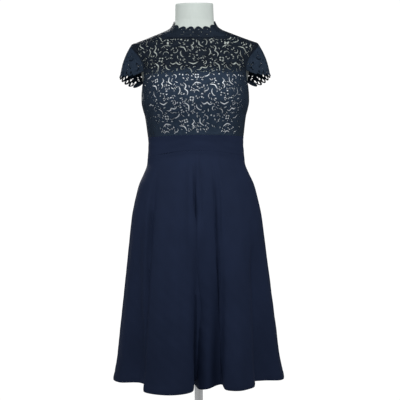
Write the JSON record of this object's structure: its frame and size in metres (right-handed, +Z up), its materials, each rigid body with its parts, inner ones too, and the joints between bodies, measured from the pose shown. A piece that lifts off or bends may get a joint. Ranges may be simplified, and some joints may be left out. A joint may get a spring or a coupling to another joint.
{
  "type": "cocktail dress on a dress form",
  "caption": "Knee-length cocktail dress with a lace bodice, cap sleeves, waistband and flared pleated skirt, on a limbless dress form with a pole stand.",
  "frame": {"origin": "centre of the base plate's underside, on the floor under the pole", "axes": "+Z up along the pole; the dress faces -Y, and its left side is towards +X"},
  "size_m": [0.4792, 0.4132, 1.484],
  "materials": {
    "navy_lace": "matte guipure lace",
    "navy_crepe": "matte crepe",
    "pale_lining": "silver grey satin",
    "navy_tape": "woven tape",
    "dark_metal": "enamelled",
    "form_cover": "matte",
    "steel": "polished"
  },
  "bodies": {
    "dress_and_stand": {"bodice_front": "navy_lace", "bodice_back_left": "navy_lace", "bodice_back_right": "navy_lace", "collar": "navy_lace", "sleeve_left": "navy_lace", "sleeve_right": "navy_lace", "lining_front": "pale_lining", "lining_back": "pale_lining", "waistband_front": "navy_crepe", "waistband_back_left": "navy_crepe", "waistband_back_right": "navy_crepe", "skirt_front": "navy_crepe", "skirt_back_left": "navy_crepe", "skirt_back_right": "navy_crepe", "zip_tape": "navy_tape", "zip_slider": "dark_metal", "dress_form": "form_cover", "pole": "steel", "base_plate": "steel"},
    "pull_tab": {"zip_pull_tab": "dark_metal"}
  },
  "joints": [
    {"name": "pull_tab_hinge", "type": "hinge", "parent": "dress_and_stand", "child": "pull_tab", "pos_m": [0, 0.0638, 1.4235], "axis": [1, 0, 0], "range_deg": [0, 170]}
  ]
}
